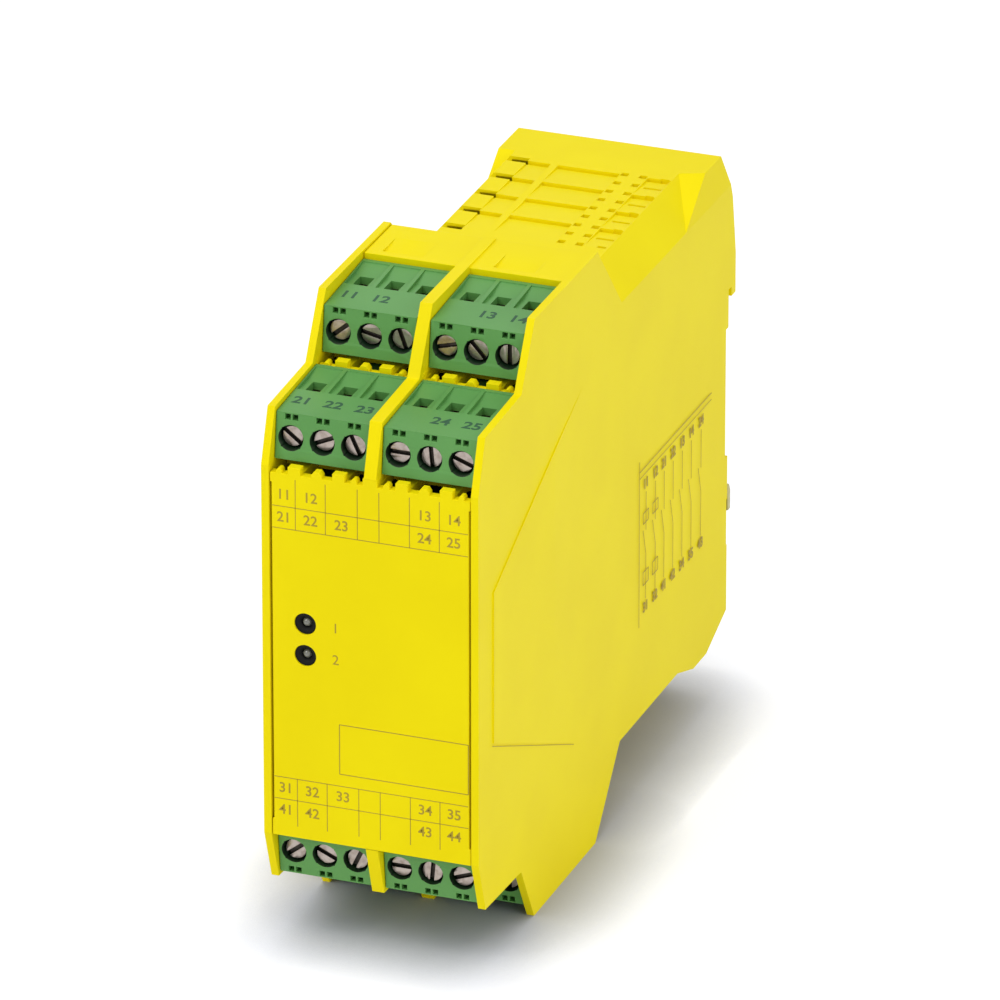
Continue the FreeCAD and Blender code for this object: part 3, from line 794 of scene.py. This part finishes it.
# %% [markdown]
# The lens is narrow where it looks out of the sleeve and wide behind it, with the
# flange that a diode has. The sleeve slopes inwards like a funnel. The lens is off,
# so it is a grey, glossy drop: a thin clear coat over a dull base gives its glint
# without the noise that real glass would bring into so small a thing.

# %% Lenses and sleeves
LENS = plastic(
    "lamp_lens",
    (128, 128, 116),
    (112, 112, 102),
    0.12,
    height=0.000001,
    Coat_Weight=1.0,
    Coat_Roughness=0.03,
)
SLEEVE = plastic("lamp_sleeve", (11, 11, 10), (8, 8, 8), 0.6, Specular_IOR_Level=0.2)
LENS_RADIUS = 0.72
LENS_TIP = 0.62
DOME_STEPS = 8


def dome(radius, tip):
    """Profile of a rounded end, from its tip to its full radius."""
    points = []
    for i in range(DOME_STEPS + 1):
        turn = math.pi / 2 * i / DOME_STEPS
        points.append((radius * math.sin(turn), tip + radius * (1 - math.cos(turn))))
    return points


LENS_BACK = [(LENS_RADIUS, 1.6), (1.42, 1.6), (1.42, 5.4), (0, 5.4)]
LENS_PROFILE = dome(LENS_RADIUS, LENS_TIP) + LENS_BACK
SLEEVE_PROFILE = [
    (0.78, 0.95),
    (1.62, 0.4),
    (1.72, 0.48),
    (1.72, 3.0),
    (1.48, 3.0),
    (1.48, 1.5),
    (0.78, 1.5),
    (0.78, 0.95),
]
for level, z in zip(("upper", "lower"), LAMP_HEIGHTS):
    lens = turned("lens_" + level, LENS_PROFILE, (LAMP_X, z), LENS, "housing")
    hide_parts("led_" + level)
    turned("ring_" + level, SLEEVE_PROFILE, (LAMP_X, z), SLEEVE, "housing")
    print("lamp at height", z, "mm")

# %% [markdown]
# ## Print
# The tables on the panel, the numbers on the blocks and the contact diagram on the
# right-hand side are printed. Real ink is a layer of some hundredths of a millimetre.
#
# It could be painted in a texture, but a texture blurs close up and needs unwrapped
# faces. Here each line and number is a thin solid layer that lies on the plastic, so
# its edges stay crisp, and it moves with the piece it is printed on.

# %% A printed face and its letters
INK_HEIGHT = 0.015
INK_SINK = -0.02
LETTER_STEPS = 4


def printed_face(origin, right, up):
    """Matrix from millimetres on a printed face (right, up, out) to the frame."""
    right = Vector(right).normalized()
    up = Vector(up).normalized()
    matrix = Matrix((right, up, right.cross(up))).transposed().to_4x4()
    return Matrix.Translation(origin) @ matrix @ Matrix.Scale(MM, 4)


def number_mesh(text, size, height, bold):
    """Plain figures as a thin solid, centred on the origin."""
    curve = bpy.data.curves.new("print", "FONT")
    curve.body = text
    curve.size = size
    curve.align_x = "CENTER"
    curve.align_y = "CENTER"
    curve.extrude = height
    curve.offset = bold
    curve.resolution_u = LETTER_STEPS
    piece = bpy.data.objects.new("print", curve)
    bpy.context.scene.collection.objects.link(piece)
    bpy.context.view_layer.update()
    shown = piece.evaluated_get(bpy.context.evaluated_depsgraph_get())
    mesh = bpy.data.meshes.new_from_object(shown)
    bpy.data.objects.remove(piece)
    bpy.data.curves.remove(curve)
    return mesh


print("thickness of the ink in mm:", INK_HEIGHT)

# %% [markdown]
# All strokes of one print are gathered in one mesh, so that a table is one piece and
# not a hundred. A stroke is a flat box whose underside is sunk a little into the
# plastic, which keeps the two surfaces from flickering against each other.

# %% One layer of ink
STROKE_FACES = (
    (3, 2, 1, 0),
    (4, 5, 6, 7),
    (0, 1, 5, 4),
    (1, 2, 6, 5),
    (2, 3, 7, 6),
    (3, 0, 4, 7),
)


class Print:
    """One layer of ink: strokes and numbers gathered in one mesh."""

    def __init__(self, matrix, height=INK_HEIGHT):
        self.work = bmesh.new()
        self.matrix = matrix
        self.height = height

    def stroke(self, start, end, width):
        start = Vector((*start, 0))
        end = Vector((*end, 0))
        along = (end - start).normalized()
        across = Vector((-along.y, along.x, 0)) * width / 2
        verts = []
        for level in (INK_SINK, self.height):
            for corner in (start - across, end - across, end + across, start + across):
                point = corner + Vector((0, 0, level))
                verts.append(self.work.verts.new(self.matrix @ point))
        for face in STROKE_FACES:
            self.work.faces.new([verts[i] for i in face])

    def frame(self, u0, v0, u1, v1, width):
        corners = ((u0, v0), (u1, v0), (u1, v1), (u0, v1))
        for a, b in zip(corners, corners[1:] + corners[:1]):
            self.stroke(a, b, width)

    def number(self, text, u, v, size, bold=0.0):
        mesh = number_mesh(text, size, self.height, bold)
        mesh.transform(self.matrix @ Matrix.Translation((u, v, 0)))
        self.work.from_mesh(mesh)
        bpy.data.meshes.remove(mesh)

    def finish(self, name, material, body):
        mesh = bpy.data.meshes.new(name)
        self.work.to_mesh(mesh)
        self.work.free()
        print(name, "has", len(mesh.polygons), "faces")
        return add_mesh(name, mesh, material, body)


print("faces of a stroke:", len(STROKE_FACES))

# %% [markdown]
# ## Tables on the panel
# The panel has a table of two rows near its upper edge and one near its lower edge.
# The outer row of each stands for the rear step and the inner row for the front step,
# and the numbers are those of the terminals. A frame is left free for the fitter's
# own marking, and the lamps are numbered.
#
# Ink on plastic is a darker shade of what it lies on, because the thin layer lets the
# plastic through. A neutral grey would be simpler, and would look stuck on.

# %% Panel print
INK_GRAIN = 0.000004
# This ink also draws the painted shadow line along the step of the side's raised pad.
INK_AND_SHADOW_LINE = plastic("printed_ink_and_shadow_line", (176, 152, 24), (168, 144, 22), 0.6, height=INK_GRAIN)
PANEL = 0.15
NUMBER_SIZE = 2.3
TABLE_LINE = 0.13
TABLE_BOLD = 0.03
TABLE_RULES = (24.0, 20.4, -24.3, -20.7)
UPPER_TABLE = (20.4, 28.6)
LOWER_TABLE = (-20.7, -28.6)
COLUMNS = (-15.6, -11.9, -7.1, -2.0, 1.45, 6.3, 11.05, 15.6)
TABLE_ROWS = (
    (25.9, ("11", "12", "", "", "", "13", "14")),
    (22.2, ("21", "22", "23", "", "", "24", "25")),
    (-22.5, ("31", "32", "33", "", "", "34", "35")),
    (-26.1, ("41", "42", "", "", "", "43", "44")),
)
MARKING_FRAME = (-5.05, -18.7, 15.6, -10.5)
FRAME_LINE = 0.15
LAMP_NUMBER_X = -5.6

panel = Print(printed_face(place(0, PANEL, 0), (1, 0, 0), (0, 0, 1)))
for z in TABLE_RULES:
    panel.stroke((COLUMNS[0], z), (COLUMNS[-1], z), TABLE_LINE)
for x in COLUMNS[1:-1]:
    for start, end in (UPPER_TABLE, LOWER_TABLE):
        panel.stroke((x, start), (x, end), TABLE_LINE)
for z, labels in TABLE_ROWS:
    for left, right, label in zip(COLUMNS, COLUMNS[1:], labels):
        if label:
            panel.number(label, (left + right) / 2, z, NUMBER_SIZE, TABLE_BOLD)
panel.frame(*MARKING_FRAME, FRAME_LINE)
for label, z in zip(("1", "2"), LAMP_HEIGHTS):
    panel.number(label, LAMP_NUMBER_X, z, NUMBER_SIZE)
panel.finish("panel_print", INK_AND_SHADOW_LINE, "housing")

# %% [markdown]
# ## Contact diagram
# The diagram on the side shows which terminals each contact joins: a line from the
# upper number, the open blade of the contact, and a line to the lower number. The
# boxes on the two left-hand lines stand for the coils. A fine line of the same ink
# farther forward is painted shadow along the lower edge of the raised pad.
#
# It is the same layer of ink on another face, so only its places are new. Each
# contact is drawn by one pass of a loop, since all seven have the same shape.

# %% Side print
SIDE = 17.5
DIAGRAM_START = 70.0
DIAGRAM_END = 103.0
FRAME_TOP = 7.0
FRAME_BOTTOM = -21.0
THICK = 0.14
FINE = 0.12
HAIR = 0.1
HEAD_RULES = ((5.2, THICK), (4.1, HAIR))
CONTACT_LINES = (73.0, 77.3, 81.3, 85.4, 89.6, 93.8, 98.3)
UPPER_ENDS = ("11", "12", "21", "22", "13", "14", "24")
LOWER_ENDS = ("31", "32", "41", "42", "34", "35", "43")
UPPER_NUMBERS = 2.3
LOWER_NUMBERS = -18.6
BOLD = 0.07
UPPER_LEAD = (0.9, -5.6)
BLADE = (-5.2, -9.6)
BLADE_LEAN = 1.3
LOWER_LEAD = (-9.6, -17.2)
COILS = ((-14.6, -12.4), (-4.2, -2.4))
COIL_HALF = 1.2
# Ends of a painted shadow line along the lower edge of the raised pad.
PAD_EDGE_SHADOW_LINE = ((5.4, -12.7), (40.8, -28.0))

side_print_and_shadow_line = Print(printed_face(place(SIDE, 0, 0), (0, 1, 0), (0, 0, 1)))
side_print_and_shadow_line.stroke((DIAGRAM_START, FRAME_TOP), (DIAGRAM_START, FRAME_BOTTOM), THICK)
for z, width in HEAD_RULES:
    side_print_and_shadow_line.stroke((DIAGRAM_START, z), (DIAGRAM_END, z), width)
for y, upper_end, lower_end in zip(CONTACT_LINES, UPPER_ENDS, LOWER_ENDS):
    side_print_and_shadow_line.number(upper_end, y, UPPER_NUMBERS, NUMBER_SIZE, BOLD)
    side_print_and_shadow_line.number(lower_end, y, LOWER_NUMBERS, NUMBER_SIZE, BOLD)
    side_print_and_shadow_line.stroke((y, UPPER_LEAD[0]), (y, UPPER_LEAD[1]), FINE)
    side_print_and_shadow_line.stroke((y - BLADE_LEAN, BLADE[0]), (y, BLADE[1]), FINE)
    side_print_and_shadow_line.stroke((y, LOWER_LEAD[0]), (y, LOWER_LEAD[1]), FINE)
for y in CONTACT_LINES[:2]:
    for bottom, top in COILS:
        side_print_and_shadow_line.frame(y - COIL_HALF, bottom, y + COIL_HALF, top, THICK)
# A painted shadow line along the step of the raised pad, drawn in the ink.
side_print_and_shadow_line.stroke(*PAD_EDGE_SHADOW_LINE, HAIR)
side_print_and_shadow_line.finish("side_print_and_shadow_line", INK_AND_SHADOW_LINE, "housing")

# %% [markdown]
# ## Numbers on the blocks
# Each block carries the numbers of its terminals on its sloping top, in front of the
# wire holes, in bold figures that a fitter can read in a dim cabinet. The print lies
# in the plane of that slope, which the lower blocks have upside down. It rides on its
# block, so it comes along when the block is pulled off.

# %% Block numbers
BLOCK_INK = plastic("plug_ink", (34, 84, 54), (28, 76, 48), 0.6, height=INK_GRAIN)
COLUMN_X = 8.55
PITCH = 5.0
STEP_DEPTH = 19.7
STEP_RISE = 9.3
TOP_SLOPE = 1.0 / 16.3
LABEL_DEPTH = 7.4
LABEL_HEIGHT = 38.26
LABEL_SIZE = 3.0
LABEL_INK_HEIGHT = 0.02
LABELS = {
    "upper_rear_left": ("11", "12", ""),
    "upper_rear_right": ("", "13", "14"),
    "upper_front_left": ("21", "22", "23"),
    "upper_front_right": ("", "24", "25"),
    "lower_front_left": ("31", "32", "33"),
    "lower_front_right": ("", "34", "35"),
    "lower_rear_left": ("41", "42", ""),
    "lower_rear_right": ("", "43", "44"),
}
for name, side, step, up in BLOCKS:
    depth = LABEL_DEPTH + step * STEP_DEPTH
    height = LABEL_HEIGHT + step * STEP_RISE
    origin = place(side * COLUMN_X, depth, up * height)
    slope = printed_face(origin, (1, 0, 0), (0, up, TOP_SLOPE))
    label = Print(slope, LABEL_INK_HEIGHT)
    for pole, text in zip((-1, 0, 1), LABELS[name]):
        if text:
            label.number(text, pole * PITCH, 0, LABEL_SIZE, BOLD)
    label.finish("numbers_" + name, BLOCK_INK, "plug_" + name)

# %% [markdown]
# ## Studio lamps
# A plain studio: a key lamp from the upper left, a broad fill from the right and a
# soft one from above, all white and all large, so that shadows have soft edges. Their
# level is such that a colour renders about as it is written. A sun would be simpler,
# but its shadow would be as hard as outdoors.

# %% Lamps
LIT_POINT = Vector((0, -0.05, 0))
LAMPS = (
    ("key", (-0.45, -0.75, 0.75), 0.5, 3.4),
    ("fill", (0.9, -0.45, 0.35), 0.7, 3.0),
    ("top", (-0.1, -0.1, 1.0), 0.5, 2.3),
)


def area_lamp(name, where, size, power):
    """A square white lamp that faces the object."""
    data = bpy.data.lights.new(name, "AREA")
    data.shape = "RECTANGLE"
    data.size = size
    data.size_y = size
    data.energy = power
    lamp = bpy.data.objects.new(name, data)
    bpy.context.scene.collection.objects.link(lamp)
    lamp.location = where
    towards = LIT_POINT - Vector(where)
    lamp.rotation_euler = towards.to_track_quat("-Z", "Y").to_euler()


for lamp_values in LAMPS:
    area_lamp(*lamp_values)
print("lamps:", ", ".join(lamp_values[0] for lamp_values in LAMPS))

# %% [markdown]
# ## White surroundings
# The world adds even light from all round. Straight towards the camera, and in
# mirror-like or clear surfaces, it shows as pure white. One white world could do
# both, but at the strength that makes it white it would drown the lamps, so the two
# jobs are kept apart by the kind of ray.

# %% World
SOFT_LIGHT = 0.55
WHITE = (1, 1, 1, 1)


def looked_at(tree):
    """1 for rays that come from the camera, a mirror-like surface or a clear one."""
    path = tree.nodes.new("ShaderNodeLightPath")
    last = path.outputs["Is Camera Ray"]
    for kind in ("Is Glossy Ray", "Is Transmission Ray"):
        either = tree.nodes.new("ShaderNodeMath")
        either.operation = "MAXIMUM"
        tree.links.new(last, either.inputs[0])
        tree.links.new(path.outputs[kind], either.inputs[1])
        last = either.outputs[0]
    return last


def white_backdrop():
    """World that lights softly and shows white to the camera and in reflections."""
    world = bpy.data.worlds.new("studio")
    bpy.context.scene.world = world
    world.use_nodes = True
    tree = world.node_tree
    soft = tree.nodes["Background"]
    soft.inputs["Color"].default_value = WHITE
    soft.inputs["Strength"].default_value = SOFT_LIGHT
    shown = tree.nodes.new("ShaderNodeBackground")
    shown.inputs["Color"].default_value = WHITE
    shown.inputs["Strength"].default_value = 1.0
    mix = tree.nodes.new("ShaderNodeMixShader")
    tree.links.new(looked_at(tree), mix.inputs[0])
    tree.links.new(soft.outputs[0], mix.inputs[1])
    tree.links.new(shown.outputs[0], mix.inputs[2])
    tree.links.new(mix.outputs[0], tree.nodes["World Output"].inputs["Surface"])
    return world


world = white_backdrop()
print("world:", world.name, "at strength", SOFT_LIGHT)

# %% [markdown]
# ## Floor
# The module stands on a white table. A matt white floor would light the object well
# but render grey, since no floor sends back all the light it gets. So it has two
# faces: to the object it is plain matt white, and to the camera it glows a little as
# well, enough to reach pure white where nothing shades it.
#
# The glow alone would fill in the shadow. It is therefore dimmed where something
# stands close above the floor, which paints a dark line of shade under the module.

# %% A glow that fades near the object
FLOOR_GLOW = 0.76
SHADE_REACH = 0.016
SHADE_POWER = 3.0
SHADE_SAMPLES = 24


def fading_glow(tree):
    """A white glow that fades out beneath and beside what stands on the floor."""
    nearby = tree.nodes.new("ShaderNodeAmbientOcclusion")
    nearby.inputs["Distance"].default_value = SHADE_REACH
    nearby.samples = SHADE_SAMPLES
    deepen = tree.nodes.new("ShaderNodeMath")
    deepen.operation = "POWER"
    deepen.inputs[1].default_value = SHADE_POWER
    tree.links.new(nearby.outputs["AO"], deepen.inputs[0])
    strength = tree.nodes.new("ShaderNodeMath")
    strength.operation = "MULTIPLY"
    strength.inputs[1].default_value = FLOOR_GLOW
    tree.links.new(deepen.outputs[0], strength.inputs[0])
    glow = tree.nodes.new("ShaderNodeEmission")
    glow.inputs["Color"].default_value = WHITE
    tree.links.new(strength.outputs[0], glow.inputs["Strength"])
    return glow


print("the shade reaches", round(SHADE_REACH / MM), "mm from the object")

# %% [markdown]
# The colour that the camera sees is much darker than the one that lights the object,
# and slightly blue, because the glow is added to it and shadows on white look cool.

# %% Floor
LIT_WHITE = (0.86, 0.86, 0.86, 1)
SEEN_GREY = (0.36, 0.37, 0.42, 1)
FLOOR_REACH = 3


def matt(tree, colour):
    surface = tree.nodes.new("ShaderNodeBsdfDiffuse")
    surface.inputs["Color"].default_value = colour
    return surface


def pale_floor():
    """Matt floor that lights the object plainly and looks white in the open."""
    material = bpy.data.materials.new("floor_white")
    material.use_nodes = True
    tree = material.node_tree
    tree.nodes.clear()
    both = tree.nodes.new("ShaderNodeAddShader")
    tree.links.new(matt(tree, SEEN_GREY).outputs[0], both.inputs[0])
    tree.links.new(fading_glow(tree).outputs[0], both.inputs[1])
    mix = tree.nodes.new("ShaderNodeMixShader")
    tree.links.new(looked_at(tree), mix.inputs[0])
    tree.links.new(matt(tree, LIT_WHITE).outputs[0], mix.inputs[1])
    tree.links.new(both.outputs[0], mix.inputs[2])
    out = tree.nodes.new("ShaderNodeOutputMaterial")
    tree.links.new(mix.outputs[0], out.inputs["Surface"])
    return material


floor_height = cad_box[0][2]
floor_corners = [
    (x * FLOOR_REACH, y * FLOOR_REACH, floor_height)
    for x, y in ((-1, -1), (1, -1), (1, 1), (-1, 1))
]
floor_mesh = bpy.data.meshes.new("floor")
floor_mesh.from_pydata(floor_corners, [], [(0, 1, 2, 3)])
floor_mesh.materials.append(pale_floor())
floor = bpy.data.objects.new("floor", floor_mesh)
bpy.context.scene.collection.objects.link(floor)
floor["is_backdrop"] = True
print("floor height in m:", round(floor_height, 4))

# %% [markdown]
# ## Camera
# Products like this are shown from the front left and a little above, through a long
# lens, so that upright edges stay nearly upright and the front isn't blown up. A
# short lens close by would fill the frame as well, but would make the panel look
# wider than the back. The camera therefore stands almost two metres away from an
# object of a tenth of a metre.

# %% Camera
AZIMUTH = math.radians(20.5)
ELEVATION = math.radians(24.1)
DISTANCE = 1.814
SENSOR = 36
LENS_IN_SENSORS = 11.819
FARTHEST = 20
aim = place(-0.6, 57.0, 3.3)
view = Vector(
    (
        -math.sin(AZIMUTH) * math.cos(ELEVATION),
        math.cos(AZIMUTH) * math.cos(ELEVATION),
        -math.sin(ELEVATION),
    )
)
camera_data = bpy.data.cameras.new("camera")
camera_data.sensor_width = SENSOR
camera_data.lens = LENS_IN_SENSORS * SENSOR
camera_data.clip_end = FARTHEST
camera = bpy.data.objects.new("camera", camera_data)
bpy.context.scene.collection.objects.link(camera)
camera.location = aim - view * DISTANCE
camera.rotation_euler = view.to_track_quat("-Z", "Y").to_euler()
bpy.context.scene.camera = camera
bpy.context.scene.view_settings.view_transform = "Standard"
print("camera stands at", [round(value, 3) for value in camera.location])

# %% [markdown]
# ## Size
# Rounding and ink must not change the module's size. The box of the finished model
# is set beside the box of the solids, and both are kept.

final_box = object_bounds()
changes = [
    abs(before - after)
    for cad_corner, final_corner in zip(cad_box, final_box)
    for before, after in zip(cad_corner, final_corner)
]
print("largest change of the box in mm:", round(max(changes) / MM, 3))
